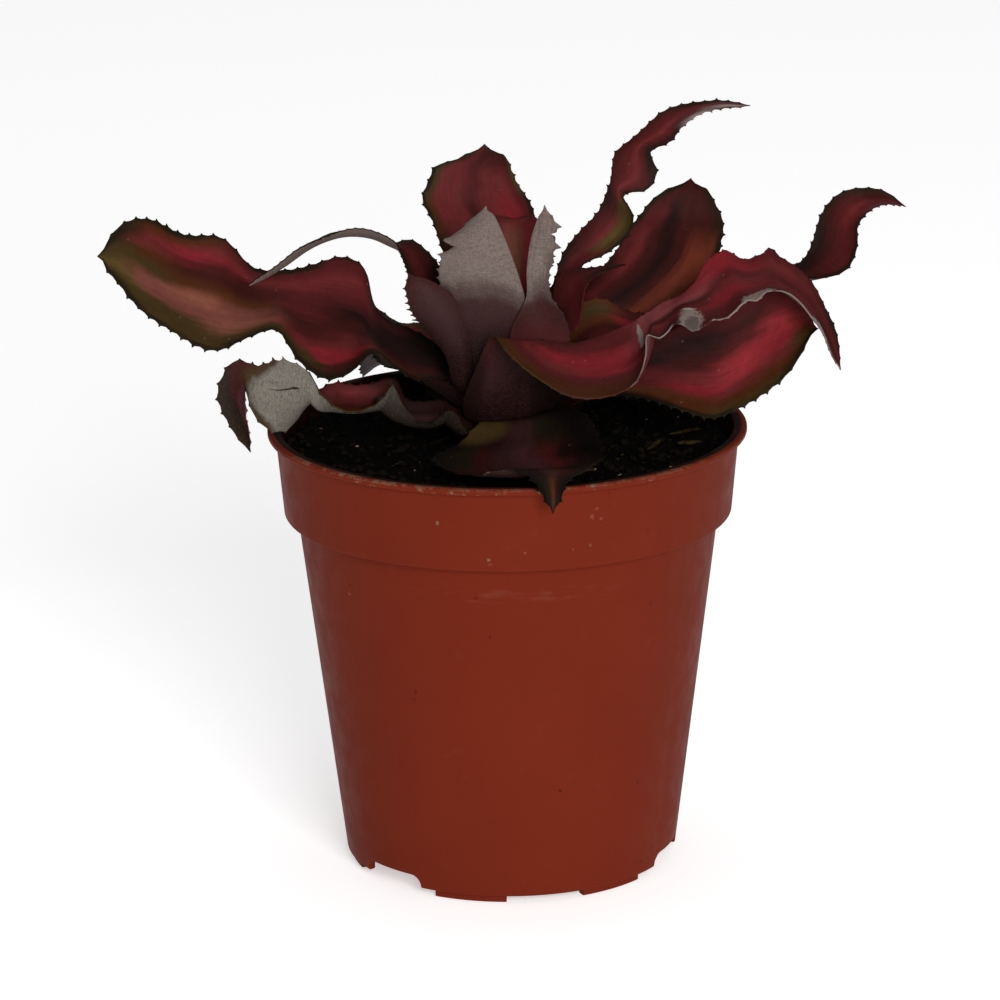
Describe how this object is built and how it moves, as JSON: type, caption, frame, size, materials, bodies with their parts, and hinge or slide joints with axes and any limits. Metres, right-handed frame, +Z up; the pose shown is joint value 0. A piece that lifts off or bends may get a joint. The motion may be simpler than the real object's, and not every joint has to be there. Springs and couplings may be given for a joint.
{
  "type": "potted earth star",
  "caption": "Small rosette bromeliad with long wavy, toothed red and maroon leaves, growing in soil in a terracotta-coloured moulded nursery pot.",
  "frame": {"origin": "on the pot's axis, at the surface that its feet stand on", "axes": "+Z up, +X to the right as seen from the front, -Y towards the front, where the small leaf hangs over the rim"},
  "size_m": [0.1515, 0.0988, 0.144],
  "materials": {
    "pot": "satin",
    "soil": "matte",
    "stem": "matte",
    "leaf_red": "satin",
    "leaf_maroon": "satin",
    "leaf_silver": "matte"
  },
  "bodies": {
    "root": {"pot": "pot", "soil": "soil", "stem": "stem", "leaf_far_left": "leaf_red", "leaf_thin_left": "leaf_maroon", "leaf_small_left": "leaf_maroon", "leaf_back_left": "leaf_red", "leaf_inner_back": "leaf_maroon", "leaf_inner_left": "leaf_silver", "leaf_inner_right": "leaf_silver", "leaf_small_right": "leaf_red", "leaf_lobed_back_right": "leaf_red", "leaf_tall_back_right": "leaf_red", "leaf_far_right": "leaf_red", "leaf_long_right": "leaf_red", "leaf_low_right": "leaf_red", "leaf_heart_left": "leaf_maroon", "leaf_heart_right": "leaf_maroon", "leaf_low_left": "leaf_silver", "leaf_front": "leaf_maroon", "leaf_back_outer_left": "leaf_red", "leaf_back_low_left": "leaf_maroon", "leaf_back_middle": "leaf_red", "leaf_back_low_right": "leaf_maroon", "leaf_back_outer_right": "leaf_red"}
  },
  "joints": []
}
